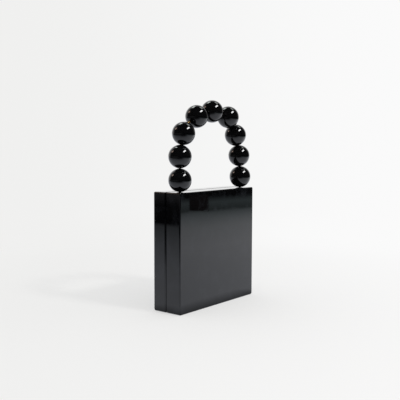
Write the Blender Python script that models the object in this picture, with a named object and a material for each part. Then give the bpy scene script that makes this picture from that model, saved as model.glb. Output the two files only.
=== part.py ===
"""Hard clutch bag: a box of two hinged acrylic trays, carried by a handle of beads on a wire.

Metres, +Z up, the bag's front towards -Y. The bag stands on Z = 0, and the origin is the middle of its
overall length and depth there. The back tray and its hinge leaves swing about the hinge axis, which runs
along X in the groove of the seam at the bottom.
"""
import math
from typing import NamedTuple

import bmesh
import bpy
from mathutils import Matrix, Vector
from mathutils.geometry import interpolate_bezier

MM = 0.001

# Box: two trays whose open sides face each other across the seam
BOX_WIDTH = 136 * MM
BOX_HEIGHT = 131 * MM
FRONT_DEPTH = 20.2 * MM
BACK_DEPTH = 17.2 * MM
SEAM_GAP = 0.4 * MM
WALL = 3 * MM
EDGE_ROUND = 1.6 * MM
BASE_CORNER_ROUND = 2.6 * MM   # the two bottom corners, as seen from the front
EDGE_SEGMENTS = 3

# Gap that is left between pieces that touch on the real bag
CLEARANCE = 0.3 * MM

# Handle
BEAD_DIAMETER = 25 * MM
BEAD_SIDES = 16
BEAD_RINGS = 12
WIRE_DIAMETER = 2 * MM
WIRE_STEPS = 4
LOOSE_GAP = 2 * MM           # beads that stand further apart than this are a slack link
FOOT_INSET = 12.5 * MM       # from the box's side to the middle of the end bead
FOOT_SETBACK = 10.7 * MM     # from the front face to the handle's plane
STOP_DIAMETER = 6 * MM
STOP_LENGTH = 4 * MM

# Hinges, let into the bottom of the seam
HINGE_INSET = 30 * MM        # from the box's side to the hinge's middle
HINGE_LENGTH = 24 * MM
KNUCKLE_DIAMETER = 1.9 * MM
PIN_DIAMETER = 0.9 * MM
PIN_CLEARANCE = 0.05 * MM
LEAF_THICKNESS = 0.8 * MM
LEAF_REACH = 9 * MM
RISER_INSET = 0.2 * MM       # how far a riser stands back from its leaf's edges
KNUCKLE_SIDES = 16

# Clasp: a tongue under the front tray's top that reaches into the back tray
CLASP_WIDTH = 20 * MM
CLASP_THICKNESS = 1.2 * MM
CLASP_ROOT = 9 * MM
CLASP_REACH = 6 * MM

# How far a cutter runs past the face that it opens
CUT_MARGIN = 1 * MM

# Points this near to a plane lie on it
FLAT_TOLERANCE = 0.001 * MM


class Link(NamedTuple):
    """The step from one bead to the next along the handle."""

    across: float        # share of the span between the end beads
    least_slope: float   # degrees; a slack link follows it, a touching one is steeper


# The handle's route from the left end bead to the right one, with slack in the wire near the crown
HANDLE_ROUTE = (
    Link(0.000, 0.0),
    Link(0.054, 0.0),
    Link(0.200, 40.0),
    Link(0.248, 13.3),
    Link(0.274, 10.1),
    Link(0.134, 0.0),
    Link(0.068, 0.0),
    Link(0.022, 0.0),
)
RISING_LINKS = 4

# Places that follow from the sizes above
BEAD_RADIUS = BEAD_DIAMETER / 2
BEAD_OVERHANG = max(0.0, BEAD_RADIUS - FOOT_SETBACK)
TOTAL_DEPTH = BEAD_OVERHANG + FRONT_DEPTH + SEAM_GAP + BACK_DEPTH
FRONT_Y = BEAD_OVERHANG - TOTAL_DEPTH / 2
FRONT_SEAM_Y = FRONT_Y + FRONT_DEPTH
BACK_SEAM_Y = FRONT_SEAM_Y + SEAM_GAP
BACK_Y = BACK_SEAM_Y + BACK_DEPTH
HANDLE_Y = FRONT_Y + FOOT_SETBACK
AXIS_Y = (FRONT_SEAM_Y + BACK_SEAM_Y) / 2
AXIS_Z = CLEARANCE + KNUCKLE_DIAMETER / 2
SEAM_BEVEL = AXIS_Z          # as deep as the hinge axis lies, so that the trays turn without touching
LEAST_CORNER_ROUND = SEAM_BEVEL + CLEARANCE   # leaves the seam's bevel a round corner to run along
HINGE_OFFSET = BOX_WIDTH / 2 - HINGE_INSET
BORE_DIAMETER = WIRE_DIAMETER + 2 * CLEARANCE
CEILING_Z = BOX_HEIGHT - WALL


def clear_scene():
    """Removes every object of the scene that the script starts in."""
    for item in list(bpy.data.objects):
        bpy.data.objects.remove(item, do_unlink=True)


def add_collection(name):
    """A new collection under the scene's own."""
    group = bpy.data.collections.new(name)
    bpy.context.scene.collection.children.link(group)
    return group


def make_material(name, colour, roughness, metallic=0.0):
    """A Principled material of one colour."""
    material = bpy.data.materials.new(name)
    material.use_nodes = True
    shader = material.node_tree.nodes["Principled BSDF"]
    shader.inputs["Base Color"].default_value = (*colour, 1.0)
    shader.inputs["Roughness"].default_value = roughness
    shader.inputs["Metallic"].default_value = metallic
    material.diffuse_color = (*colour, 1.0)
    return material


def file_piece(piece, name, group, material=None):
    """Names a new object and moves it into its collection. Without a material it is a cutter or a blank."""
    piece.name = name
    piece.data.name = name
    for other in list(piece.users_collection):
        other.objects.unlink(piece)
    group.objects.link(piece)
    if material is None:
        piece.hide_render = True
        piece.display_type = "WIRE"
    else:
        piece.data.materials.clear()
        piece.data.materials.append(material)
    return piece


def add_block(name, low, high, group, material=None):
    """A box between two corners, with its origin in its middle."""
    low, high = Vector(low), Vector(high)
    bpy.ops.mesh.primitive_cube_add(size=1, location=(low + high) / 2)
    block = bpy.context.active_object
    block.data.transform(Matrix.Diagonal((*(high - low), 1.0)))
    return file_piece(block, name, group, material)


def add_rod(name, middle, length, diameter, sides, along, group, material=None):
    """A cylinder round a line through its middle, along X or Z."""
    turn = (0, math.pi / 2, 0) if along == "X" else (0, 0, 0)
    bpy.ops.mesh.primitive_cylinder_add(
        vertices=sides, radius=diameter / 2, depth=length, location=middle, rotation=turn
    )
    rod = file_piece(bpy.context.active_object, name, group, material)
    rod.data.shade_smooth()
    rod.data.set_sharp_from_angle(angle=math.radians(40))
    return rod


def combine(target, tool, operation="DIFFERENCE"):
    """Cuts, joins or trims one object by another with a Boolean modifier."""
    step = target.modifiers.new(tool.name, "BOOLEAN")
    step.operation = operation
    step.solver = "EXACT"
    step.object = tool


def bevel_where(outline, chosen, width, segments):
    """Bevels the edges of a mesh whose two ends both pass a test."""
    edges = [edge for edge in outline.edges if all(chosen(end.co) for end in edge.verts)]
    bmesh.ops.bevel(outline, geom=edges, offset=width, segments=segments, profile=0.5, affect="EDGES")


def add_tray(name, outer_y, seam_y, group, cutters, material):
    """One half of the box: a tray open at the seam, round at its outer edges and bevelled at its rim."""
    half_width = BOX_WIDTH / 2
    away = 1 if outer_y > seam_y else -1
    tray = add_block(name, (-half_width, min(outer_y, seam_y), 0), (half_width, max(outer_y, seam_y), BOX_HEIGHT),
                     group, material)
    tray.data.transform(Matrix.Translation(tray.location))
    tray.location = (0, 0, 0)
    outline = bmesh.new()
    outline.from_mesh(tray.data)
    # First the four corners that run from front to back, then the outer face's rim, then the seam's
    for side in (-1, 1):
        bevel_where(outline, lambda point: side * point.x > 0 and point.z < CUT_MARGIN,
                    max(BASE_CORNER_ROUND, LEAST_CORNER_ROUND), EDGE_SEGMENTS)
        bevel_where(outline, lambda point: side * point.x > 0 and point.z > BOX_HEIGHT - CUT_MARGIN,
                    max(EDGE_ROUND, LEAST_CORNER_ROUND), EDGE_SEGMENTS)
    bevel_where(outline, lambda point: abs(point.y - outer_y) < FLAT_TOLERANCE, EDGE_ROUND, EDGE_SEGMENTS)
    bevel_where(outline, lambda point: abs(point.y - seam_y) < FLAT_TOLERANCE, SEAM_BEVEL, 1)
    outline.to_mesh(tray.data)
    outline.free()
    tray.data.shade_smooth()
    tray.data.set_sharp_from_angle(angle=math.radians(35))

    # The hollow runs out through the seam
    floor_y = outer_y - away * WALL
    mouth_y = seam_y - away * CUT_MARGIN
    hollow = add_block(name + "_hollow",
                       (-half_width + WALL, min(floor_y, mouth_y), WALL),
                       (half_width - WALL, max(floor_y, mouth_y), CEILING_Z), cutters)
    combine(tray, hollow)
    return tray


def bead_centres():
    """The beads' middles from left to right, worked out from the route, the span and the beads' size."""
    step = BEAD_DIAMETER + CLEARANCE
    foot_x = BOX_WIDTH / 2 - FOOT_INSET
    spans = [2 * foot_x * link.across for link in HANDLE_ROUTE]
    rises = []
    for span, link in zip(spans, HANDLE_ROUTE):
        slack_rise = span * math.tan(math.radians(link.least_slope))
        touching_rise = math.sqrt(max(0.0, step * step - span * span))
        rises.append(max(slack_rise, touching_rise))
    # Both sides reach the same height: the slack links of the lower side take up the difference
    top = max(sum(rises[:RISING_LINKS]), sum(rises[RISING_LINKS:]))
    climbs = []
    for sign, side in ((1, slice(0, RISING_LINKS)), (-1, slice(RISING_LINKS, None))):
        is_slack = [link.least_slope > 0 for link in HANDLE_ROUTE[side]]
        slack_height = sum(rise for rise, slack in zip(rises[side], is_slack) if slack)
        stretch = 1 + (top - sum(rises[side])) / slack_height
        climbs += [sign * rise * (stretch if slack else 1) for rise, slack in zip(rises[side], is_slack)]
    place = Vector((-foot_x, HANDLE_Y, BOX_HEIGHT + CLEARANCE + BEAD_RADIUS))
    centres = [place.copy()]
    for span, climb in zip(spans, climbs):
        place = place + Vector((span, 0, climb))
        centres.append(place)
    return centres


def link_points(before, start, end, after):
    """Points of the wire from one bead's middle to just before the next one's.

    Every bead lies along the line between its neighbours. In a slack link the wire leaves the one bead and
    enters the other straight along them, and bends between. Where beads touch it curves all the way.
    """
    leaving = (end - before).normalized()
    arriving = (after - start).normalized()
    if (end - start).length - BEAD_DIAMETER > LOOSE_GAP:
        way_out = start + leaving * BEAD_RADIUS
        way_in = end - arriving * BEAD_RADIUS
        reach = (way_in - way_out).length / 3
        bend = (way_out, way_out + leaving * reach, way_in - arriving * reach, way_in)
        return [start, *interpolate_bezier(*bend, WIRE_STEPS + 1)]
    handle = (end - start).length / 3
    curve = (start, start + leaving * handle, end - arriving * handle, end)
    return interpolate_bezier(*curve, WIRE_STEPS + 1)[:-1]


def wire_route(centres):
    """Points of the wire: straight up into the first bead, smoothly through all, and straight down again."""
    below = Vector((0, 0, BEAD_DIAMETER))
    knots = [centres[0] - below, *centres, centres[-1] - below]
    points = []
    for before, start, end, after in zip(knots, knots[1:], knots[2:], knots[3:]):
        points += link_points(before, start, end, after)
    points.append(centres[-1])
    end_z = CEILING_Z - 2 * CLEARANCE - STOP_LENGTH
    first_end = Vector((centres[0].x, HANDLE_Y, end_z))
    last_end = Vector((centres[-1].x, HANDLE_Y, end_z))
    return [first_end, *points, last_end]


def add_tube(name, points, diameter, group, material=None):
    """A round wire along a list of points, as a curve with closed ends."""
    line = bpy.data.curves.new(name, "CURVE")
    line.dimensions = "3D"
    line.bevel_depth = diameter / 2
    line.bevel_resolution = 2
    line.use_fill_caps = True
    spline = line.splines.new("POLY")
    spline.points.add(len(points) - 1)
    for knot, point in zip(spline.points, points):
        knot.co = (*point, 1.0)
    tube = bpy.data.objects.new(name, line)
    bpy.context.scene.collection.objects.link(tube)
    return file_piece(tube, name, group, material)


def mesh_from_tube(tube, group):
    """Replaces a curve by its mesh, with the end caps joined on, so that it can cut."""
    name = tube.name
    bpy.context.view_layer.update()
    evaluated = tube.evaluated_get(bpy.context.evaluated_depsgraph_get())
    mesh = bpy.data.meshes.new_from_object(evaluated)
    welded = bmesh.new()
    welded.from_mesh(mesh)
    bmesh.ops.remove_doubles(welded, verts=welded.verts, dist=0.00001)
    welded.to_mesh(mesh)
    welded.free()
    solid = bpy.data.objects.new(name, mesh)
    solid.matrix_world = tube.matrix_world
    bpy.data.objects.remove(tube, do_unlink=True)
    bpy.context.scene.collection.objects.link(solid)
    return file_piece(solid, name, group)


def add_bead(name, centre, bore_line, channel, group, material):
    """A drilled bead whose poles lie on its bore."""
    side = Vector((0, -1, 0))
    pole = bore_line.normalized()
    frame = Matrix((side, pole.cross(side), pole)).transposed()
    bpy.ops.mesh.primitive_uv_sphere_add(
        segments=BEAD_SIDES, ring_count=BEAD_RINGS, radius=BEAD_RADIUS, location=centre,
        rotation=frame.to_euler()
    )
    bead = file_piece(bpy.context.active_object, name, group, material)
    bead.data.shade_smooth()
    combine(bead, channel)
    return bead


def add_hinge_leaf(name, middle_x, away, knuckle_spans, group, cutters, material):
    """A leaf on a tray's floor with its knuckles round the hinge axis. Away is +1 towards the back."""
    near_y = AXIS_Y + away * SEAM_GAP / 2
    plate_y = AXIS_Y + away * LEAF_REACH
    riser_near_y = near_y + away * RISER_INSET
    riser_far_y = riser_near_y + away * LEAF_THICKNESS
    plate_z = WALL + CLEARANCE
    top_z = plate_z + LEAF_THICKNESS
    leaf = add_block(name, (middle_x - HINGE_LENGTH / 2, min(near_y, plate_y), plate_z),
                     (middle_x + HINGE_LENGTH / 2, max(near_y, plate_y), top_z), group, material)
    for number, (start, end) in enumerate(knuckle_spans, 1):
        riser = add_block(f"{name}_riser_{number}",
                          (middle_x + start + RISER_INSET, min(riser_near_y, riser_far_y), AXIS_Z),
                          (middle_x + end - RISER_INSET, max(riser_near_y, riser_far_y), top_z - RISER_INSET),
                          cutters)
        combine(leaf, riser, "UNION")
        knuckle = add_rod(f"{name}_knuckle_{number}", (middle_x + (start + end) / 2, AXIS_Y, AXIS_Z), end - start,
                          KNUCKLE_DIAMETER, KNUCKLE_SIDES, "X", cutters)
        combine(leaf, knuckle, "UNION")
    bore = add_rod(name + "_bore", (middle_x, AXIS_Y, AXIS_Z), HINGE_LENGTH + 2 * CUT_MARGIN,
                   PIN_DIAMETER + 2 * PIN_CLEARANCE, KNUCKLE_SIDES, "X", cutters)
    combine(leaf, bore)
    return leaf


def add_hinge(side_name, middle_x, trays, group, cutters, material):
    """A three-knuckle hinge at one side, and the notch for it in both trays. Returns the moving leaf."""
    front_tray, back_tray = trays
    half = HINGE_LENGTH / 2
    third = HINGE_LENGTH / 3
    outer_spans = ((-half, -half + third), (half - third, half))
    middle_span = ((-half + third + CLEARANCE, half - third - CLEARANCE),)
    add_hinge_leaf("hinge_leaf_front_" + side_name, middle_x, -1, outer_spans, group, cutters, material)
    moving = add_hinge_leaf("hinge_leaf_back_" + side_name, middle_x, 1, middle_span, group, cutters, material)
    add_rod("hinge_pin_" + side_name, (middle_x, AXIS_Y, AXIS_Z), HINGE_LENGTH, PIN_DIAMETER, KNUCKLE_SIDES, "X",
            group, material)
    notch_reach = max(SEAM_GAP / 2 + RISER_INSET + LEAF_THICKNESS, KNUCKLE_DIAMETER / 2) + CLEARANCE
    notch = add_block("hinge_notch_" + side_name,
                      (middle_x - half - CLEARANCE, AXIS_Y - notch_reach, -CUT_MARGIN),
                      (middle_x + half + CLEARANCE, AXIS_Y + notch_reach, WALL + CUT_MARGIN), cutters)
    combine(front_tray, notch)
    combine(back_tray, notch)
    return moving


def add_handle(front_tray, group, cutters, bead_material, metal):
    """The string of beads on its wire, seated on the front tray's top and held by a stop at each end."""
    centres = bead_centres()
    route = wire_route(centres)
    add_tube("handle_wire", route, WIRE_DIAMETER, group, metal)
    channel = mesh_from_tube(add_tube("bead_channel", route, BORE_DIAMETER, cutters), cutters)
    neighbours = [centres[0] - Vector((0, 0, 1)), *centres, centres[-1] - Vector((0, 0, 1))]
    for number, centre in enumerate(centres, 1):
        # The end beads stand square on the top, the others follow the line between their neighbours
        bore_line = Vector((0, 0, 1))
        if 1 < number < len(centres):
            bore_line = neighbours[number + 1] - neighbours[number - 1]
        add_bead(f"bead_{number}", centre, bore_line, channel, group, bead_material)
    for side_name, foot in (("left", centres[0]), ("right", centres[-1])):
        hole = add_rod("wire_hole_" + side_name, (foot.x, HANDLE_Y, CEILING_Z + WALL / 2), WALL + 2 * CUT_MARGIN,
                       BORE_DIAMETER, KNUCKLE_SIDES, "Z", cutters)
        combine(front_tray, hole)
        stop_z = CEILING_Z - CLEARANCE - STOP_LENGTH / 2
        stop = add_rod("wire_stop_" + side_name, (foot.x, HANDLE_Y, stop_z), STOP_LENGTH, STOP_DIAMETER,
                       KNUCKLE_SIDES, "Z", group, metal)
        bore = add_rod("stop_bore_" + side_name, (foot.x, HANDLE_Y, stop_z), STOP_LENGTH + 2 * CUT_MARGIN,
                       BORE_DIAMETER, KNUCKLE_SIDES, "Z", cutters)
        combine(stop, bore)


def add_clasp(group, material):
    """The tongue that is fixed under the front tray's top and grips inside the back tray's."""
    top_z = CEILING_Z - CLEARANCE
    return add_block("clasp_tongue", (-CLASP_WIDTH / 2, FRONT_SEAM_Y - CLASP_ROOT, top_z - CLASP_THICKNESS),
                     (CLASP_WIDTH / 2, BACK_SEAM_Y + CLASP_REACH, top_z), group, material)


def hang_on_axis(pieces, group):
    """Parents the moving pieces to an empty on the hinge axis."""
    axis = bpy.data.objects.new("shell_hinge_axis", None)
    axis.location = (0, AXIS_Y, AXIS_Z)
    group.objects.link(axis)
    for piece in pieces:
        piece.parent = axis
        piece.matrix_parent_inverse = Matrix.Translation(axis.location).inverted()
    return axis


def build():
    """Builds the whole bag."""
    clear_scene()
    group = add_collection("clutch_bag")
    cutters = add_collection("cutters")
    shell_acrylic = make_material("black_shell_acrylic", (0.006, 0.006, 0.007), 0.05)
    bead_acrylic = make_material("black_bead_acrylic", (0.005, 0.005, 0.006), 0.03)
    brass = make_material("brass", (0.62, 0.5, 0.28), 0.3, 1.0)

    front_tray = add_tray("front_shell", FRONT_Y, FRONT_SEAM_Y, group, cutters, shell_acrylic)
    back_tray = add_tray("back_shell", BACK_Y, BACK_SEAM_Y, group, cutters, shell_acrylic)
    add_handle(front_tray, group, cutters, bead_acrylic, brass)
    add_clasp(group, brass)
    moving = [back_tray]
    for side_name, middle_x in (("left", -HINGE_OFFSET), ("right", HINGE_OFFSET)):
        moving.append(add_hinge(side_name, middle_x, (front_tray, back_tray), group, cutters, brass))
    hang_on_axis(moving, group)


build()
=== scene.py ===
"""Looks of a hard box clutch bag: polished acrylic trays, a handle of beads on a brass wire, and its studio.

Metres, +Z up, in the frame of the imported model: the bag stands on Z = 0 with its front towards -Y. Every
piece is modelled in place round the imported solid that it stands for, and takes its size from that solid.
"""
import logging
import math
from collections.abc import Callable, Iterator, Sequence
from contextlib import contextmanager
from dataclasses import dataclass
from enum import Enum
from typing import Any

import bmesh
import bpy
from mathutils import Matrix, Vector
from mathutils.geometry import interpolate_bezier


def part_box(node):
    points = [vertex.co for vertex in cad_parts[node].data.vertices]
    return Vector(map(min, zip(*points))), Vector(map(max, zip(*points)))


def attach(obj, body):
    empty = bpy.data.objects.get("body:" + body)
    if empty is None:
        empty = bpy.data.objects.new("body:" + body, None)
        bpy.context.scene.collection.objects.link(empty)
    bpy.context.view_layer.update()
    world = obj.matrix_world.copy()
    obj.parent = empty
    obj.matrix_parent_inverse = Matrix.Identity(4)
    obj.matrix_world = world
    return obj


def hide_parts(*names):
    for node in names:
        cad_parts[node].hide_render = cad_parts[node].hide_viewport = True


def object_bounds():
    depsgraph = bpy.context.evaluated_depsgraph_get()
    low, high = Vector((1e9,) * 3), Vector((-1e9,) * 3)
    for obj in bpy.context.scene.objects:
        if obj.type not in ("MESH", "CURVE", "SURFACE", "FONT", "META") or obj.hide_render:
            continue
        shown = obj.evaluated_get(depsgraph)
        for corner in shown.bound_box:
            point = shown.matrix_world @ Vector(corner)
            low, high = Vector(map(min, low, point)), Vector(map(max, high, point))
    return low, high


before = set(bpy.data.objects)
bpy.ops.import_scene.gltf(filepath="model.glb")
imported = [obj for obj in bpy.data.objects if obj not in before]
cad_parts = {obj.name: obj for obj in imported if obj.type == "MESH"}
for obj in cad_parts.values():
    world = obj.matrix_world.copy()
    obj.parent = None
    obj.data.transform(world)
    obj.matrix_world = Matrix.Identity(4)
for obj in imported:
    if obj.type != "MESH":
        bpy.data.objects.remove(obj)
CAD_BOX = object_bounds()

MM = 0.001
WELD = 0.001 * MM
LOG = logging.getLogger("clutch_bag")
Colour = tuple[float, float, float, float]


class Half(Enum):
    """The two trays of the box, by the way from the seam to the outer face along Y."""

    FRONT = -1
    BACK = 1

    @property
    def word(self) -> str:
        """The half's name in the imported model's nodes and bodies."""
        return self.name.lower()


class Side(Enum):
    """The two ends of the bag, by their sign along X."""

    LEFT = -1
    RIGHT = 1

    @property
    def word(self) -> str:
        """The side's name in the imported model's nodes."""
        return self.name.lower()


class Slot(Enum):
    """The record's material slots."""

    SHELL = "shell_acrylic"
    BEAD = "bead_acrylic"
    BRASS = "brass"


# Colours and shader nodes


def linear_colour(code: str) -> Colour:
    """Turns an sRGB colour into the linear values that shaders take.

    Args:
        code: The colour as six hex digits after a hash sign.

    Returns:
        Red, green, blue and an alpha of one.
    """
    channels = []
    for start in (1, 3, 5):
        value = int(code[start:start + 2], 16) / 255
        channels.append(value / 12.92 if value <= 0.04045 else ((value + 0.055) / 1.055) ** 2.4)
    return (*channels, 1.0)


def add_node(
    tree: bpy.types.NodeTree,
    kind: str,
    links: dict[str | int, bpy.types.NodeSocket] | None = None,
    values: dict[str | int, Any] | None = None,
    **settings: Any,
) -> bpy.types.Node:
    """Adds one node with its settings, its sockets' values and its incoming links.

    Args:
        tree: The node tree that gets the node.
        kind: The node's type name.
        links: The output that each linked input reads.
        values: The value of each input that is set by hand.
        **settings: The node's own settings.

    Returns:
        The new node.
    """
    node = tree.nodes.new(kind)
    for name, value in settings.items():
        setattr(node, name, value)
    for name, value in (values or {}).items():
        node.inputs[name].default_value = value
    for name, source in (links or {}).items():
        tree.links.new(source, node.inputs[name])
    return node


def new_shader_tree(name: str) -> tuple[bpy.types.Material, bpy.types.NodeTree]:
    """Makes an empty material.

    Args:
        name: The material's name.

    Returns:
        The material and its node tree.
    """
    material = bpy.data.materials.new(name)
    material.use_nodes = True
    material.node_tree.nodes.clear()
    return material, material.node_tree


# Finishes


@dataclass(frozen=True)
class PolishedAcrylic:
    """Cast acrylic (PMMA), solid black and flame or wheel polished: a clear gloss over a depthless black.

    Its gloss is a mirror of the room, so what shows is how true the surface is: a long, faint waviness
    from the casting, hairlines from the polishing wheel, and a thin haze where it has been touched.
    """

    name: str
    colour: str
    worn_colour: str
    ior: float
    roughness: float
    haze_roughness: float
    haze_size: float
    wave_size: float
    wave_height: float
    hairline_width: float
    hairline_length: float
    hairline_depth: float
    haze_share: tuple[float, float] = (0.45, 0.75)
    hairline_share: tuple[float, float] = (0.7, 0.8)
    hairline_turns: tuple[tuple[float, float, float], ...] = ((0.3, 0.21, 0.3), (-0.5, -0.35, -0.5))
    hairline_dullness: float = 0.2

    def make(self) -> bpy.types.Material:
        """Builds the material.

        Returns:
            The material, ready to assign.
        """
        material, tree = new_shader_tree(self.name)
        place = add_node(tree, "ShaderNodeTexCoord").outputs["Object"]

        # The haze of handling: soft clouds in which the gloss is a little duller
        clouds = add_node(tree, "ShaderNodeTexNoise", {"Vector": place},
                          {"Scale": 1 / self.haze_size, "Detail": 4.0, "Roughness": 0.6, "Distortion": 0.4})
        haze = add_node(tree, "ShaderNodeMapRange", {"Value": clouds.outputs["Fac"]},
                        {"From Min": self.haze_share[0], "From Max": self.haze_share[1]},
                        interpolation_type="SMOOTHSTEP")

        # Hairlines of the polishing wheel, which cross each other at a low angle
        lines = []
        for turn in self.hairline_turns:
            along = add_node(tree, "ShaderNodeMapping", {"Vector": place}, {
                "Rotation": turn,
                "Scale": (1 / self.hairline_length, 1 / self.hairline_width, 1 / self.hairline_width),
            })
            noise = add_node(tree, "ShaderNodeTexNoise", {"Vector": along.outputs["Vector"]},
                             {"Scale": 1.0, "Detail": 1.0})
            lines.append(add_node(tree, "ShaderNodeMapRange", {"Value": noise.outputs["Fac"]},
                                  {"From Min": self.hairline_share[0], "From Max": self.hairline_share[1]}))
        hairlines = add_node(tree, "ShaderNodeMath", {0: lines[0].outputs[0], 1: lines[1].outputs[0]},
                             operation="MAXIMUM")

        dullness = add_node(tree, "ShaderNodeMath", {0: hairlines.outputs[0], 2: haze.outputs[0]},
                            {1: self.hairline_dullness}, operation="MULTIPLY_ADD")
        roughness = add_node(tree, "ShaderNodeMapRange", {"Value": dullness.outputs[0]},
                             {"To Min": self.roughness, "To Max": self.haze_roughness})
        colour = add_node(tree, "ShaderNodeMix", {0: haze.outputs[0]},
                          {6: linear_colour(self.colour), 7: linear_colour(self.worn_colour)},
                          data_type="RGBA")

        # The casting's long waves bend the reflections, and the hairlines glint beside the highlights
        waves = add_node(tree, "ShaderNodeTexNoise", {"Vector": place},
                         {"Scale": 1 / self.wave_size, "Detail": 1.0, "Roughness": 0.3})
        wavy = add_node(tree, "ShaderNodeBump", {"Height": waves.outputs["Fac"]},
                        {"Strength": 1.0, "Distance": self.wave_height})
        relief = add_node(tree, "ShaderNodeBump",
                          {"Height": hairlines.outputs[0], "Normal": wavy.outputs[0]},
                          {"Strength": 1.0, "Distance": self.hairline_depth}, invert=True)
        shader = add_node(tree, "ShaderNodeBsdfPrincipled", {
            "Base Color": colour.outputs[2], "Roughness": roughness.outputs[0], "Normal": relief.outputs[0],
        }, {"IOR": self.ior})
        add_node(tree, "ShaderNodeOutputMaterial", {"Surface": shader.outputs[0]})
        return material


@dataclass(frozen=True)
class DrawnBrass:
    """Yellow brass (CuZn37), drawn or rolled and then brushed: a warm satin metal with lines along X."""

    name: str
    colour: str
    tarnish_colour: str
    roughness: float
    tarnish_roughness: float
    tarnish_size: float
    line_width: float
    line_length: float
    line_depth: float
    tarnish_share: tuple[float, float] = (0.4, 0.72)
    line_dullness: float = 0.4

    def make(self) -> bpy.types.Material:
        """Builds the material.

        Returns:
            The material, ready to assign.
        """
        material, tree = new_shader_tree(self.name)
        place = add_node(tree, "ShaderNodeTexCoord").outputs["Object"]
        clouds = add_node(tree, "ShaderNodeTexNoise", {"Vector": place},
                          {"Scale": 1 / self.tarnish_size, "Detail": 5.0, "Roughness": 0.65})
        tarnish = add_node(tree, "ShaderNodeMapRange", {"Value": clouds.outputs["Fac"]},
                           {"From Min": self.tarnish_share[0], "From Max": self.tarnish_share[1]},
                           interpolation_type="SMOOTHSTEP")
        along = add_node(tree, "ShaderNodeMapping", {"Vector": place}, {
            "Scale": (1 / self.line_length, 1 / self.line_width, 1 / self.line_width),
        })
        lines = add_node(tree, "ShaderNodeTexNoise", {"Vector": along.outputs["Vector"]},
                         {"Scale": 1.0, "Detail": 2.0})
        colour = add_node(tree, "ShaderNodeMix", {0: tarnish.outputs[0]},
                          {6: linear_colour(self.colour), 7: linear_colour(self.tarnish_colour)},
                          data_type="RGBA")
        dullness = add_node(tree, "ShaderNodeMath", {0: lines.outputs["Fac"], 2: tarnish.outputs[0]},
                            {1: self.line_dullness}, operation="MULTIPLY_ADD")
        roughness = add_node(tree, "ShaderNodeMapRange", {"Value": dullness.outputs[0]},
                             {"To Min": self.roughness, "To Max": self.tarnish_roughness})
        relief = add_node(tree, "ShaderNodeBump", {"Height": lines.outputs["Fac"]},
                          {"Strength": 1.0, "Distance": self.line_depth})
        shader = add_node(tree, "ShaderNodeBsdfPrincipled", {
            "Base Color": colour.outputs[2], "Roughness": roughness.outputs[0], "Normal": relief.outputs[0],
        }, {"Metallic": 1.0})
        add_node(tree, "ShaderNodeOutputMaterial", {"Surface": shader.outputs[0]})
        return material


# Polished sheet: a deep mirror with long, faint waves. Real hairlines are 0.05 mm wide and would not
# show, so they are drawn 0.35 mm wide
TRAY_ACRYLIC = PolishedAcrylic(
    name="cast_acrylic_black_wheel_polished", colour="#060607", worn_colour="#131417", ior=1.49,
    roughness=0.02, haze_roughness=0.10, haze_size=16 * MM, wave_size=42 * MM, wave_height=0.05 * MM,
    hairline_width=0.35 * MM, hairline_length=14 * MM, hairline_depth=0.0002 * MM,
)
# Tumbled beads: the same gloss, slightly softer, with shorter waves, and hairlines drawn 0.3 mm wide
BEAD_ACRYLIC = PolishedAcrylic(
    name="moulded_acrylic_black_tumble_polished", colour="#050506", worn_colour="#09090a", ior=1.5,
    roughness=0.03, haze_roughness=0.12, haze_size=7 * MM, wave_size=9 * MM, wave_height=0.025 * MM,
    hairline_width=0.3 * MM, hairline_length=4 * MM, hairline_depth=0.0003 * MM,
)
# Brushed sheet and rod: a warm satin. Real brush lines are 0.03 mm wide and would not show, so they are
# drawn 0.12 mm wide
BRASS = DrawnBrass(
    name="brass_cuzn37_brushed", colour="#d9b871", tarnish_colour="#9c7840", roughness=0.2,
    tarnish_roughness=0.42, tarnish_size=5 * MM, line_width=0.12 * MM, line_length=6 * MM,
    line_depth=0.003 * MM,
)
# The same metal for the wire: duller, and a darker brown that is painted shade for the gaps between the
# beads
WIRE_BRASS_PAINTED_SHADE = DrawnBrass(
    name="brass_cuzn37_drawn_painted_shade", colour="#8f7446", tarnish_colour="#5f4a2a", roughness=0.34,
    tarnish_roughness=0.55, tarnish_size=5 * MM, line_width=0.12 * MM, line_length=6 * MM,
    line_depth=0.003 * MM,
)


# Modelling by hand


def clear_selection() -> None:
    """Deselects every object, because an operator acts on all that is selected."""
    bpy.ops.object.select_all(action="DESELECT")


def take_piece(name: str) -> bpy.types.Object:
    """Names the primitive that was just added and puts its place, turn and size into its mesh.

    Args:
        name: The piece's name.

    Returns:
        The piece.
    """
    piece = bpy.context.active_object
    piece.name = name
    piece.data.name = name
    bpy.ops.object.transform_apply(location=True, rotation=True, scale=True)
    return piece


@contextmanager
def editing(piece: bpy.types.Object) -> Iterator[None]:
    """Opens a piece in edit mode with nothing selected, and closes it again.

    Args:
        piece: The piece to edit.

    Yields:
        Nothing.
    """
    clear_selection()
    piece.select_set(True)
    bpy.context.view_layer.objects.active = piece
    bpy.ops.object.mode_set(mode="EDIT")
    bpy.ops.mesh.select_all(action="DESELECT")
    yield
    bpy.ops.object.mode_set(mode="OBJECT")


def pick_edges(piece: bpy.types.Object, test: Callable[[Vector], bool]) -> None:
    """Selects, in edit mode, only the edges whose two ends pass a test.

    Args:
        piece: The piece in edit mode.
        test: Says whether a point belongs to the choice.
    """
    bpy.ops.mesh.select_mode(type="EDGE")
    mesh = bmesh.from_edit_mesh(piece.data)
    for edge in mesh.edges:
        edge.select_set(all(test(end.co) for end in edge.verts))
    bmesh.update_edit_mesh(piece.data)


def round_picked(width: float, segments: int) -> None:
    """Bevels the selected edges, round with several segments and flat with one."""
    bpy.ops.mesh.bevel(offset=width, segments=segments, profile=0.5, affect="EDGES")


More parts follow.
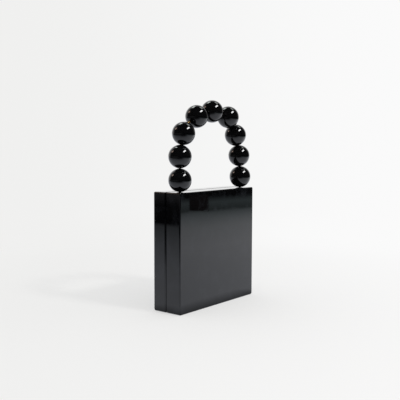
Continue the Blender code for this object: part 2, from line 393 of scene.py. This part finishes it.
def apply_modifier(piece: bpy.types.Object, kind: str, **settings: Any) -> None:
    """Adds a modifier to a piece and applies it.

    Args:
        piece: The piece.
        kind: The modifier's type.
        **settings: The modifier's settings.
    """
    clear_selection()
    piece.select_set(True)
    bpy.context.view_layer.objects.active = piece
    step = piece.modifiers.new(kind.lower(), kind)
    for name, value in settings.items():
        setattr(step, name, value)
    bpy.ops.object.modifier_apply(modifier=step.name)


def cut(piece: bpy.types.Object, tool: bpy.types.Object, keep_tool: bool = False) -> None:
    """Takes one shape out of another.

    Args:
        piece: The piece that is cut.
        tool: The shape that is taken out.
        keep_tool: Whether the tool is still needed.
    """
    apply_modifier(piece, "BOOLEAN", operation="DIFFERENCE", solver="EXACT", object=tool)
    if not keep_tool:
        bpy.data.objects.remove(tool, do_unlink=True)


def smooth(piece: bpy.types.Object, degrees: float = 30.0) -> None:
    """Shades a piece smooth across its rounded edges and true on its flats.

    Args:
        piece: The piece.
        degrees: Edges that turn by more than this stay sharp.
    """
    clear_selection()
    piece.select_set(True)
    bpy.context.view_layer.objects.active = piece
    bpy.ops.object.shade_smooth_by_angle(angle=math.radians(degrees))
    apply_modifier(piece, "WEIGHTED_NORMAL", mode="FACE_AREA", weight=100, keep_sharp=True)


def dress(piece: bpy.types.Object, finish: bpy.types.Material, body: str, node: str) -> None:
    """Gives a finished piece its material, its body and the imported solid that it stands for.

    Args:
        piece: The piece.
        finish: Its material.
        body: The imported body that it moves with.
        node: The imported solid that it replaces.
    """
    piece.data.materials.clear()
    piece.data.materials.append(finish)
    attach(piece, body)
    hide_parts(node)
    LOG.info("%s: %d faces, on body %s", piece.name, len(piece.data.polygons), body)


def add_block(name: str, low: Sequence[float], high: Sequence[float]) -> bpy.types.Object:
    """Adds a box between two corners, to be shaped further or to cut with.

    Args:
        name: The box's name.
        low: Its lowest corner.
        high: Its highest corner.

    Returns:
        The box.
    """
    low, high = Vector(low), Vector(high)
    clear_selection()
    bpy.ops.mesh.primitive_cube_add(size=1, location=(low + high) / 2, scale=high - low)
    return take_piece(name)


def add_rod(name: str, middle: Vector, length: float, diameter: float, sides: int = 40) -> bpy.types.Object:
    """Adds an upright cylinder to cut with.

    Args:
        name: The rod's name.
        middle: Its middle.
        length: Its length.
        diameter: Its diameter.
        sides: How many sides it has.

    Returns:
        The rod.
    """
    clear_selection()
    bpy.ops.mesh.primitive_cylinder_add(vertices=sides, radius=diameter / 2, depth=length, location=middle)
    return take_piece(name)


def copy_of(piece: bpy.types.Object, name: str) -> bpy.types.Object:
    """Copies a finished shape with a mesh of its own.

    Args:
        piece: The shape to copy.
        name: The copy's name.

    Returns:
        The copy.
    """
    twin = piece.copy()
    twin.data = piece.data.copy()
    twin.name = name
    twin.data.name = name
    bpy.context.scene.collection.objects.link(twin)
    return twin


# The bag's own parts


@dataclass
class Tray:
    """One half of the box: a hollow acrylic tray, open at the seam."""

    half: Half
    finish: bpy.types.Material
    wall: float = 3 * MM
    edge_round: float = 1.6 * MM
    base_corner_round: float = 2.6 * MM
    inner_round: float = 1.2 * MM
    inner_floor_round: float = 0.96 * MM
    edge_break: float = 0.12 * MM
    edge_steps: int = 2
    crisp_degrees: float = 30.0
    seam_bevel: float = 1.25 * MM
    hinge_reach: float = 1.2 * MM
    hinge_play: float = 0.3 * MM
    wire_diameter: float = 2 * MM
    wire_hole: float = 2.6 * MM
    round_steps: int = 12
    cut_margin: float = 1 * MM
    flat_tolerance: float = 0.01 * MM

    def outer_block(self) -> bpy.types.Object:
        """Models the solid outside: round corners, a round outer rim and a flat bevel at the seam.

        Returns:
            The tray before it is hollowed.
        """
        low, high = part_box(f"{self.half.word}_shell")
        tray = add_block(f"{self.half.word}_tray", low, high)
        outer_y, seam_y = (low.y, high.y) if self.half is Half.FRONT else (high.y, low.y)
        middle_z = (low.z + high.z) / 2
        with editing(tray):
            for side in Side:
                pick_edges(tray, lambda point: point.x * side.value > 0 and point.z < middle_z)
                round_picked(self.base_corner_round, self.round_steps)
                pick_edges(tray, lambda point: point.x * side.value > 0 and point.z > middle_z
                           and abs(abs(point.x) - high.x) < self.flat_tolerance)
                round_picked(self.edge_round, self.round_steps)
            pick_edges(tray, lambda point: abs(point.y - outer_y) < self.flat_tolerance)
            round_picked(self.edge_round, self.round_steps)
            pick_edges(tray, lambda point: abs(point.y - seam_y) < self.flat_tolerance)
            round_picked(self.seam_bevel, 1)
        return tray

    def hollow(self, tray: bpy.types.Object) -> None:
        """Cuts the inside out through the seam, with rounded inner corners, and breaks every crisp edge.

        Args:
            tray: The tray's outside.
        """
        low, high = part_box(f"{self.half.word}_shell")
        inside_low = low + Vector((self.wall, 0, self.wall))
        inside_high = high - Vector((self.wall, 0, self.wall))
        if self.half is Half.FRONT:
            inside_low.y += self.wall
            inside_high.y += self.cut_margin
        else:
            inside_low.y -= self.cut_margin
            inside_high.y -= self.wall
        floor_y = inside_low.y if self.half is Half.FRONT else inside_high.y
        inside = add_block(f"{self.half.word}_inside", inside_low, inside_high)
        with editing(inside):
            for side in Side:
                for up in (-1, 1):
                    pick_edges(inside, lambda point: point.x * side.value > 0
                               and (point.z - (low.z + high.z) / 2) * up > 0)
                    round_picked(self.inner_round, self.round_steps // 2)
            pick_edges(inside, lambda point: abs(point.y - floor_y) < self.flat_tolerance)
            round_picked(self.inner_floor_round, self.round_steps // 2)
        cut(tray, inside)
        apply_modifier(tray, "BEVEL", width=self.edge_break, segments=self.edge_steps, limit_method="ANGLE",
                       angle_limit=math.radians(self.crisp_degrees), use_clamp_overlap=True)

    def clear_hinges(self, tray: bpy.types.Object) -> None:
        """Notches the floor for the hinges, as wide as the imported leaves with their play.

        Args:
            tray: The hollowed tray.
        """
        reach = self.hinge_reach + self.hinge_play
        for side in Side:
            leaf_low, leaf_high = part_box(f"hinge_leaf_front_{side.word}")
            pin_low, pin_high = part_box(f"hinge_pin_{side.word}")
            axis_y = (pin_low.y + pin_high.y) / 2
            notch = add_block(
                "hinge_notch",
                (leaf_low.x - self.hinge_play, axis_y - reach, -self.cut_margin),
                (leaf_high.x + self.hinge_play, axis_y + reach, self.wall + self.cut_margin),
            )
            cut(tray, notch)

    def drill_wire_holes(self, tray: bpy.types.Object) -> None:
        """Drills the top for the handle's wire.

        Args:
            tray: The front tray.
        """
        low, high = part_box("handle_wire")
        radius = self.wire_diameter / 2
        y = (low.y + high.y) / 2
        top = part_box("front_shell")[1].z
        for x in (low.x + radius, high.x - radius):
            cut(tray, add_rod("wire_hole", Vector((x, y, top)), 4 * self.wall, self.wire_hole))

    def build(self) -> bpy.types.Object:
        """Models and dresses the tray.

        Returns:
            The tray.
        """
        tray = self.outer_block()
        self.hollow(tray)
        self.clear_hinges(tray)
        if self.half is Half.FRONT:
            self.drill_wire_holes(tray)
        smooth(tray)
        dress(tray, self.finish, self.half.word, f"{self.half.word}_shell")
        return tray


@dataclass
class BeadHandle:
    """The upright handle: nine drilled beads on one wire, whose ends go into the front tray's top."""

    bead_finish: bpy.types.Material
    wire_finish: bpy.types.Material
    bead_count: int = 9
    bead_diameter: float = 25 * MM

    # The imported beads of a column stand 0.28 mm apart. The real ones touch, so these are that much thicker
    # and lie half of it lower
    polished_diameter: float = 25.28 * MM
    settling: float = 0.14 * MM

    wire_diameter: float = 2 * MM
    bore_diameter: float = 2.6 * MM
    loose_gap: float = 2 * MM
    bead_segments: int = 72
    bead_rings: int = 48
    wire_steps: int = 12
    section_steps: int = 6
    wire_crisp_degrees: float = 50.0

    def centres(self) -> list[Vector]:
        """The beads' middles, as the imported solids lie."""
        boxes = [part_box(f"bead_{number}") for number in range(1, self.bead_count + 1)]
        return [(low + high) / 2 for low, high in boxes]

    def with_ends(self, centres: Sequence[Vector]) -> list[Vector]:
        """The beads' middles with a point straight below each end, where the wire enters the box."""
        below = Vector((0, 0, self.bead_diameter))
        return [centres[0] - below, *centres, centres[-1] - below]

    def link_points(self, before: Vector, start: Vector, end: Vector, after: Vector) -> list[Vector]:
        """Points of the wire from one bead's middle to just before the next one's.

        Each bead lies along the line between its neighbours. In a slack link the wire is straight in the
        beads and bends between them. Where beads touch it curves all the way.

        Args:
            before: The middle of the bead before the link.
            start: The middle of the link's first bead.
            end: The middle of the link's second bead.
            after: The middle of the bead after the link.

        Returns:
            The points, without the second bead's middle.
        """
        leaving = (end - before).normalized()
        arriving = (after - start).normalized()
        if (end - start).length - self.bead_diameter > self.loose_gap:
            way_out = start + leaving * self.bead_diameter / 2
            way_in = end - arriving * self.bead_diameter / 2
            reach = (way_in - way_out).length / 3
            bend = (way_out, way_out + leaving * reach, way_in - arriving * reach, way_in)
            return [start, *interpolate_bezier(*bend, self.wire_steps + 1)]
        handle = (end - start).length / 3
        curve = (start, start + leaving * handle, end - arriving * handle, end)
        return interpolate_bezier(*curve, self.wire_steps + 1)[:-1]

    def route(self, centres: Sequence[Vector]) -> list[Vector]:
        """The wire's whole way, from its left end inside the box over the crown to its right end.

        Args:
            centres: The beads' middles.

        Returns:
            The points along the wire.
        """
        knots = self.with_ends(centres)
        points = []
        for before, start, end, after in zip(knots, knots[1:], knots[2:], knots[3:]):
            points += self.link_points(before, start, end, after)
        end_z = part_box("handle_wire")[0].z
        first_end = Vector((centres[0].x, centres[0].y, end_z))
        last_end = Vector((centres[-1].x, centres[-1].y, end_z))
        return [first_end, *points, centres[-1], last_end]

    def tube(self, name: str, points: Sequence[Vector], diameter: float) -> bpy.types.Object:
        """Models a round wire along points, from a curve with a round section, closed at its ends.

        Args:
            name: The tube's name.
            points: The points along it.
            diameter: Its diameter.

        Returns:
            The tube as a closed mesh.
        """
        clear_selection()
        bpy.ops.curve.primitive_nurbs_path_add()
        line = bpy.context.active_object
        line.name = name
        line.data.splines.clear()
        spline = line.data.splines.new("POLY")
        spline.points.add(len(points) - 1)
        for knot, point in zip(spline.points, points):
            knot.co = (*point, 1.0)
        line.data.bevel_depth = diameter / 2
        line.data.bevel_resolution = self.section_steps
        line.data.use_fill_caps = True
        bpy.ops.object.convert(target="MESH")
        tube = take_piece(name)
        with editing(tube):
            bpy.ops.mesh.select_all(action="SELECT")
            bpy.ops.mesh.remove_doubles(threshold=WELD)
            bpy.ops.mesh.normals_make_consistent(inside=False)
        return tube

    def master_bead(self) -> bpy.types.Object:
        """Models one solid bead at the origin, its poles along Z.

        Returns:
            The bead before it is drilled.
        """
        clear_selection()
        bpy.ops.mesh.primitive_uv_sphere_add(segments=self.bead_segments, ring_count=self.bead_rings,
                                             radius=self.polished_diameter / 2)
        return take_piece("bead_master")

    def build(self) -> list[bpy.types.Object]:
        """Models and dresses the wire and the beads.

        Returns:
            The pieces of the handle.
        """
        centres = self.centres()
        route = self.route(centres)
        channel = self.tube("bead_channel", route, self.bore_diameter)
        master = self.master_bead()
        knots = self.with_ends(centres)
        pieces = []
        for number, centre in enumerate(centres, 1):
            bead = copy_of(master, f"polished_bead_{number}")
            pole = (knots[number + 1] - knots[number - 1]).normalized()
            if number in (1, self.bead_count):
                pole = Vector((0, 0, 1))
            turn = pole.to_track_quat("Z", "Y").to_matrix().to_4x4()
            bead.data.transform(Matrix.Translation(centre - Vector((0, 0, self.settling))) @ turn)
            cut(bead, channel, keep_tool=True)
            smooth(bead)
            dress(bead, self.bead_finish, Half.FRONT.word, f"bead_{number}")
            pieces.append(bead)
        bpy.data.objects.remove(master, do_unlink=True)
        bpy.data.objects.remove(channel, do_unlink=True)
        wire = self.tube("drawn_wire", route, self.wire_diameter)
        smooth(wire, self.wire_crisp_degrees)
        dress(wire, self.wire_finish, Half.FRONT.word, "handle_wire")
        pieces.append(wire)
        return pieces


@dataclass
class Hardware:
    """The hidden brass parts: hinge leaves and pins, the wire's stops and the clasp's tongue.

    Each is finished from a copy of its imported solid, because its play is cut to tenths of a millimetre.
    """

    finish: bpy.types.Material
    edge_break: float = 0.1 * MM
    edge_steps: int = 3
    crisp_degrees: float = 40.0
    flat_degrees: float = 1.0

    def finish_part(self, node: str, body: str) -> bpy.types.Object:
        """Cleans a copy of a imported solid, breaks its crisp edges and dresses it.

        Args:
            node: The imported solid.
            body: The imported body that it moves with.

        Returns:
            The finished part.
        """
        part = copy_of(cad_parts[node], f"brass_{node}")
        with editing(part):
            bpy.ops.mesh.select_all(action="SELECT")
            bpy.ops.mesh.remove_doubles(threshold=WELD)
            bpy.ops.mesh.dissolve_limited(angle_limit=math.radians(self.flat_degrees))
            bpy.ops.mesh.normals_make_consistent(inside=False)
        apply_modifier(part, "BEVEL", width=self.edge_break, segments=self.edge_steps, limit_method="ANGLE",
                       angle_limit=math.radians(self.crisp_degrees), use_clamp_overlap=True)
        smooth(part)
        dress(part, self.finish, body, node)
        return part

    def build(self) -> list[bpy.types.Object]:
        """Finishes all the brass parts but the wire.

        Returns:
            The finished parts.
        """
        front, back = Half.FRONT.word, Half.BACK.word
        parts = [self.finish_part("clasp_tongue", front)]
        for side in Side:
            for kind, body in (("hinge_leaf_front", front), ("hinge_leaf_back", back),
                               ("hinge_pin", front), ("wire_stop", front)):
                parts.append(self.finish_part(f"{kind}_{side.word}", body))
        return parts


# The studio


@dataclass(frozen=True)
class Softbox:
    """One lamp with a rectangular diffuser, hung in a given direction from the bag.

    Its wash is what it casts on matt paper, and its glow is what shows of it in a polished face. They are
    set apart, because a polished face shows the diffuser's hot centre.
    """

    name: str
    towards: tuple[float, float, float]
    width: float
    height: float
    roll: float
    glow: float
    wash: float
    colour: str
    distance: float = 1.9

    def build(self, aim: Vector) -> None:
        """Hangs the lamp so that it faces the bag.

        Args:
            aim: The point that it faces.
        """
        way = Vector(self.towards).normalized()
        facing = way.to_track_quat("Z", "Y").to_matrix() @ Matrix.Rotation(math.radians(self.roll), 3, "Z")
        for part, radiance in (("glow", self.glow), ("wash", self.wash)):
            if not radiance:
                continue
            light = bpy.data.lights.new(f"{self.name}_{part}", "AREA")
            light.shape = "RECTANGLE"
            light.size, light.size_y = self.width, self.height
            light.energy = radiance * math.pi * self.width * self.height
            light.color = linear_colour(self.colour)[:3]
            lamp = bpy.data.objects.new(light.name, light)
            bpy.context.scene.collection.objects.link(lamp)
            lamp.matrix_world = Matrix.Translation(aim + way * self.distance) @ facing.to_4x4()
            lamp.visible_glossy = part == "glow"
            lamp.visible_diffuse = part == "wash"


SOFTBOXES = (
    Softbox(name="key_softbox", towards=(0.16, -0.65, 0.75), width=1.05, height=0.34, roll=12.0,
            glow=20.0, wash=1.5, colour="#ffffff"),
    Softbox(name="back_softbox", towards=(0.12, 0.47, 0.88), width=0.65, height=0.50, roll=0.0,
            glow=5.4, wash=0.5, colour="#f6fffa"),
    Softbox(name="side_softbox", towards=(0.52, -0.09, 0.85), width=0.55, height=0.45, roll=20.0,
            glow=3.4, wash=1.0, colour="#f8fffa"),
    Softbox(name="warm_lamp", towards=(-0.43, 0.71, 0.56), width=0.55, height=0.36, roll=45.0,
            glow=3.8, wash=0.5, colour="#ffe2d2"),
    # This one only casts the bag's soft shadow, and no polished face mirrors it
    Softbox(name="shadow_lamp", towards=(0.070, -0.715, 0.695), width=0.26, height=0.20, roll=0.0,
            glow=0.0, wash=56.0, colour="#fffdf8"),
)


@dataclass
class Studio:
    """Floor, backdrop, room and lamps.

    The sweep is pale wherever the camera looks. Past the sweep's two near edges the room is dark, which
    is what black acrylic mirrors.
    """

    aim: Vector
    view_yaw: float

    # The sweep, and the pale tone of sweep and backdrop, which brightens from left to right
    floor_radius: float = 12.0
    floor_sides: int = 96
    sweep_colour: str = "#f2f2f2"
    left_colour: str = "#f0f0ef"
    right_colour: str = "#fafafa"
    floor_tint_reach: float = 0.26
    backdrop_tint_reach: float = 0.3

    # Away from the bag the sweep's shading evens out, and farther away it melts into the backdrop
    overexposure: float = 0.55
    even_start: float = 0.14
    even_end: float = 0.60
    fade_start: float = 0.35
    fade_end: float = 1.1

    # The backdrop and the dark room in polished faces, and the fill on matt ones
    backdrop_radiance: float = 1.15
    backdrop_turn: float = -0.22
    backdrop_edge: tuple[float, float] = (0.3, 0.9)
    room_radiance: float = 0.03
    fill_low: float = 0.33
    fill_high: float = 0.99

    # The sweep in polished faces: painted shade below the scene camera's place, which is fixed whatever the
    # view, and a painted contact shadow close round the bag's own base
    mirror_gain: float = 1.5
    camera_foot: tuple[float, float, float] = (-0.593, -0.464, 0.0)
    shade_start: float = 0.18
    shade_end: float = 0.60
    shade_light: float = 0.15
    footprint: tuple[float, float, float] = (0.068, 0.0198, 0.0)
    contact_reach: float = 0.03
    contact_light: float = 0.35

    # The clamp on the sweep's near edge
    clamp_place: tuple[float, float] = (0.818, -0.702)
    clamp_size: tuple[float, float, float] = (0.054, 0.012, 0.045)
    clamp_colour: str = "#2a100e"
    clamp_roughness: float = 0.5

    # How deep a piece may lie below the sweep for the paper to give way over it
    give_way_depth: float = 0.06
    give_way_samples: int = 8
    give_way_edge: tuple[float, float] = (0.25, 0.4)

    # The sweep's painted reflection in polished faces, its lit pool by the distance from the bag in metres:
    # to the front, square to the sweep's near edge, which lies askew, and to the left
    edge_skew: float = 0.175
    to_the_front: tuple[tuple[float, str], ...] = (
        (-1.20, "#000000"), (-1.02, "#748082"), (-0.84, "#5c6566"), (-0.79, "#949ea1"), (-0.70, "#b6bec2"),
        (-0.55, "#dfe3e7"), (-0.35, "#f8faff"),
    )
    to_the_left: tuple[tuple[float, str], ...] = (
        (-1.45, "#606060"), (-1.02, "#1c1c1c"), (-0.68, "#000000"), (-0.63, "#7c8082"), (-0.25, "#c6c8cc"),
        (0.75, "#ffffff"),
    )

    def to_the_right(self) -> Vector:
        """The level direction to the right of the photograph's view, which is fixed whatever the view."""
        return Vector((math.cos(self.view_yaw), -math.sin(self.view_yaw), 0.0))

    def add_pale_tint(
        self, tree: bpy.types.NodeTree, place: bpy.types.NodeSocket, reach: float,
    ) -> bpy.types.NodeSocket:
        """Adds the pale tone that the camera sees, which brightens from left to right.

        Args:
            tree: The node tree of the sweep or of the world.
            place: The place, or the direction, that the tone goes by.
            reach: How far to the left and right the tone changes.

        Returns:
            The output with the colour.
        """
        across = add_node(tree, "ShaderNodeVectorMath", {0: place}, {1: self.to_the_right()},
                          operation="DOT_PRODUCT")
        shade = add_node(tree, "ShaderNodeMapRange", {"Value": across.outputs["Value"]},
                         {"From Min": -reach, "From Max": reach}, interpolation_type="SMOOTHSTEP")
        pale = add_node(tree, "ShaderNodeMix", {0: shade.outputs[0]},
                        {6: linear_colour(self.left_colour), 7: linear_colour(self.right_colour)},
                        data_type="RGBA")
        return pale.outputs[2]

    def add_mirrored_sweep(
        self, tree: bpy.types.NodeTree, place: bpy.types.NodeSocket,
    ) -> bpy.types.NodeSocket:
        """Adds the colour that the sweep has in a polished face: a glowing, painted reflection of the lit
        paper.

        Args:
            tree: The sweep's node tree.
            place: The place on the sweep.

        Returns:
            The output with the colour.
        """
        askew = Vector((-math.sin(self.edge_skew), math.cos(self.edge_skew), 0.0))
        tints = []
        for axis, stops in ((askew, self.to_the_front), (Vector((1.0, 0.0, 0.0)), self.to_the_left)):
            start, end = stops[0][0], stops[-1][0]
            reach = add_node(tree, "ShaderNodeVectorMath", {0: place}, {1: axis}, operation="DOT_PRODUCT")
            along = add_node(tree, "ShaderNodeMapRange", {"Value": reach.outputs["Value"]},
                             {"From Min": start, "From Max": end})
            ramp = add_node(tree, "ShaderNodeValToRGB", {"Fac": along.outputs[0]})
            for spare in list(ramp.color_ramp.elements)[1:]:
                ramp.color_ramp.elements.remove(spare)
            ramp.color_ramp.elements[0].position = 0.0
            ramp.color_ramp.elements[0].color = linear_colour(stops[0][1])
            for position, code in stops[1:]:
                ramp.color_ramp.elements.new((position - start) / (end - start)).color = linear_colour(code)
            tints.append(ramp.outputs["Color"])
        product = add_node(tree, "ShaderNodeVectorMath", {0: tints[0], 1: tints[1]}, operation="MULTIPLY")
        # Painted shade round the foot of the scene camera's place
        apart = add_node(tree, "ShaderNodeVectorMath", {0: place}, {1: self.camera_foot},
                         operation="DISTANCE")
        clear = add_node(tree, "ShaderNodeMapRange", {"Value": apart.outputs["Value"]},
                         {"From Min": self.shade_start, "From Max": self.shade_end,
                          "To Min": self.shade_light, "To Max": self.mirror_gain},
                         interpolation_type="SMOOTHSTEP")
        scaled = add_node(tree, "ShaderNodeVectorMath", {0: product.outputs[0], 3: clear.outputs[0]},
                          operation="SCALE")

        # A painted contact shadow: the mirrored paper darkens where the bag stands on it
        folded = add_node(tree, "ShaderNodeVectorMath", {0: place}, operation="ABSOLUTE")
        past = add_node(tree, "ShaderNodeVectorMath", {0: folded.outputs[0]}, {1: self.footprint},
                        operation="SUBTRACT")
        outside = add_node(tree, "ShaderNodeVectorMath", {0: past.outputs[0]}, {1: (0.0, 0.0, 0.0)},
                           operation="MAXIMUM")
        gap = add_node(tree, "ShaderNodeVectorMath", {0: outside.outputs[0]}, operation="LENGTH")
        contact = add_node(tree, "ShaderNodeMapRange", {"Value": gap.outputs["Value"]},
                           {"From Max": self.contact_reach, "To Min": self.contact_light})
        shaded = add_node(tree, "ShaderNodeVectorMath", {0: scaled.outputs[0], 3: contact.outputs[0]},
                          operation="SCALE")
        return shaded.outputs[0]

    def floor_material(self) -> bpy.types.Material:
        """A pale matt sweep that melts into the backdrop with distance.

        Returns:
            The material.
        """
        material, tree = new_shader_tree("matt_paper_sweep")
        place = add_node(tree, "ShaderNodeTexCoord").outputs["Object"]
        path = add_node(tree, "ShaderNodeLightPath")
        matt = add_node(tree, "ShaderNodeBsdfDiffuse", {}, {"Color": linear_colour(self.sweep_colour)})
        pale = self.add_pale_tint(tree, place, self.floor_tint_reach)
        white = add_node(tree, "ShaderNodeEmission", {"Color": pale})
        distance = add_node(tree, "ShaderNodeVectorMath", {0: place}, operation="LENGTH").outputs["Value"]
        evenness = add_node(tree, "ShaderNodeMapRange", {"Value": distance},
                            {"From Min": self.even_start, "From Max": self.even_end,
                             "To Min": self.overexposure, "To Max": 1.0}, interpolation_type="SMOOTHSTEP")
        paper = add_node(tree, "ShaderNodeMixShader",
                         {0: evenness.outputs[0], 1: matt.outputs[0], 2: white.outputs[0]})
        mirrored = add_node(tree, "ShaderNodeEmission", {"Color": self.add_mirrored_sweep(tree, place)})
        sweep = add_node(tree, "ShaderNodeMixShader",
                         {0: path.outputs["Is Glossy Ray"], 1: paper.outputs[0], 2: mirrored.outputs[0]})
        far = add_node(tree, "ShaderNodeMapRange", {"Value": distance},
                       {"From Min": self.fade_start, "From Max": self.fade_end},
                       interpolation_type="SMOOTHSTEP")
        away = add_node(tree, "ShaderNodeMath", {0: far.outputs[0], 1: path.outputs["Is Camera Ray"]},
                        operation="MULTIPLY")
        backdrop = add_node(tree, "ShaderNodeBsdfTransparent")
        blend = add_node(tree, "ShaderNodeMixShader",
                         {0: away.outputs[0], 1: sweep.outputs[0], 2: backdrop.outputs[0]})

        # The opened back tray lies a little below the base, so the paper gives way over it
        room = add_node(tree, "ShaderNodeAmbientOcclusion", {}, {"Distance": self.give_way_depth},
                        samples=self.give_way_samples, inside=True)
        laid = add_node(tree, "ShaderNodeMapRange", {"Value": room.outputs["AO"]},
                        {"From Min": self.give_way_edge[0], "From Max": self.give_way_edge[1]})
        paper_or_gap = add_node(tree, "ShaderNodeMixShader",
                                {0: laid.outputs[0], 1: backdrop.outputs[0], 2: blend.outputs[0]})
        add_node(tree, "ShaderNodeOutputMaterial", {"Surface": paper_or_gap.outputs[0]})
        return material

    def build_floor(self) -> bpy.types.Object:
        """Lays the sweep.

        Returns:
            The floor.
        """
        clear_selection()
        bpy.ops.mesh.primitive_circle_add(vertices=self.floor_sides, radius=self.floor_radius,
                                          fill_type="NGON")
        floor = take_piece("studio_sweep")
        floor.data.materials.append(self.floor_material())
        return floor

    def build_clamp(self) -> bpy.types.Object:
        """Sets down the small dark clamp that holds the sweep's near edge, for the polished front to mirror.

        Returns:
            The clamp, hidden from the camera.
        """
        clear_selection()
        bpy.ops.mesh.primitive_cube_add(size=1, location=(*self.clamp_place, self.clamp_size[2] / 2),
                                        rotation=(0.0, 0.0, self.view_yaw), scale=self.clamp_size)
        clamp = take_piece("sweep_clamp")
        material, tree = new_shader_tree("dark_red_enamelled_steel")
        enamel = add_node(tree, "ShaderNodeBsdfPrincipled", {}, {
            "Base Color": linear_colour(self.clamp_colour), "Roughness": self.clamp_roughness,
        })
        add_node(tree, "ShaderNodeOutputMaterial", {"Surface": enamel.outputs[0]})
        clamp.data.materials.append(material)
        clamp.visible_camera = False
        clamp.visible_diffuse = False
        clamp.visible_shadow = False
        return clamp

    def build_world(self) -> bpy.types.World:
        """Surrounds the bag with a backdrop and a room.

        The camera sees a pale backdrop. Matt surfaces get an even fill, and polished ones mirror a bright
        backdrop beyond the bag and a dark room elsewhere.

        Returns:
            The world.
        """
        world = bpy.data.worlds.new("studio_room")
        world.use_nodes = True
        tree = world.node_tree
        tree.nodes.clear()
        towards = add_node(tree, "ShaderNodeTexCoord").outputs["Generated"]
        beyond = Vector((math.sin(self.view_yaw), math.cos(self.view_yaw), 0.0))
        middle = Matrix.Rotation(-self.backdrop_turn, 3, "Z") @ beyond
        facing = add_node(tree, "ShaderNodeVectorMath", {0: towards}, {1: middle}, operation="DOT_PRODUCT")
        lit = add_node(tree, "ShaderNodeMapRange", {"Value": facing.outputs["Value"]},
                       {"From Min": self.backdrop_edge[0], "From Max": self.backdrop_edge[1],
                        "To Min": self.room_radiance, "To Max": self.backdrop_radiance},
                       interpolation_type="SMOOTHSTEP")
        height = add_node(tree, "ShaderNodeSeparateXYZ", {0: towards}).outputs[2]
        fill = add_node(tree, "ShaderNodeMapRange", {"Value": height},
                        {"To Min": self.fill_low, "To Max": self.fill_high})
        pale = self.add_pale_tint(tree, towards, self.backdrop_tint_reach)
        path = add_node(tree, "ShaderNodeLightPath")
        around = add_node(tree, "ShaderNodeMix",
                          {0: path.outputs["Is Diffuse Ray"], 2: lit.outputs[0], 3: fill.outputs[0]})
        seen = add_node(tree, "ShaderNodeMix",
                        {0: path.outputs["Is Camera Ray"], 6: around.outputs[0], 7: pale}, data_type="RGBA")
        light = add_node(tree, "ShaderNodeBackground", {"Color": seen.outputs[2]}, {"Strength": 1.0})
        add_node(tree, "ShaderNodeOutputWorld", {"Surface": light.outputs[0]})
        bpy.context.scene.world = world
        return world

    def build(self) -> None:
        """Builds the whole studio."""
        self.build_floor()
        self.build_clamp()
        self.build_world()
        for softbox in SOFTBOXES:
            softbox.build(self.aim)
        bpy.context.scene.view_settings.view_transform = "Standard"
        LOG.info("studio: sweep, backdrop and %d lamps", len(SOFTBOXES))


@dataclass(frozen=True)
class PhotoCamera:
    """The camera at the photograph's place and angle, worked out from the box's corners and the beads."""

    place: tuple[float, float, float] = (-0.5928, -0.4640, 0.1815)
    yaw: float = 51.38
    pitch_down: float = 4.78
    roll: float = 0.149
    lens: float = 59.4
    sensor_width: float = 36.0

    def build(self) -> bpy.types.Object:
        """Sets the camera up and makes it the scene's.

        Returns:
            The camera.
        """
        data = bpy.data.cameras.new("photo_camera")
        data.lens = self.lens
        data.sensor_width = self.sensor_width
        camera = bpy.data.objects.new("photo_camera", data)
        bpy.context.scene.collection.objects.link(camera)
        turn = (Matrix.Rotation(-math.radians(self.yaw), 4, "Z")
                @ Matrix.Rotation(math.radians(90 - self.pitch_down), 4, "X")
                @ Matrix.Rotation(math.radians(self.roll), 4, "Z"))
        camera.matrix_world = Matrix.Translation(self.place) @ turn
        bpy.context.scene.camera = camera
        return camera


def main() -> None:
    logging.basicConfig(level=logging.INFO, format="%(message)s")
    acrylic = TRAY_ACRYLIC.make()
    bead_acrylic = BEAD_ACRYLIC.make()
    brass = BRASS.make()
    wire_brass_painted_shade = WIRE_BRASS_PAINTED_SHADE.make()
    for half in Half:
        Tray(half, acrylic).build()
    # The wire's darker brown is painted shade between the beads
    BeadHandle(bead_acrylic, wire_brass_painted_shade).build()
    Hardware(brass).build()
    camera = PhotoCamera()
    camera.build()
    low, high = CAD_BOX
    Studio(aim=(low + high) / 2, view_yaw=math.radians(camera.yaw)).build()


if __name__ == "__main__":
    main()
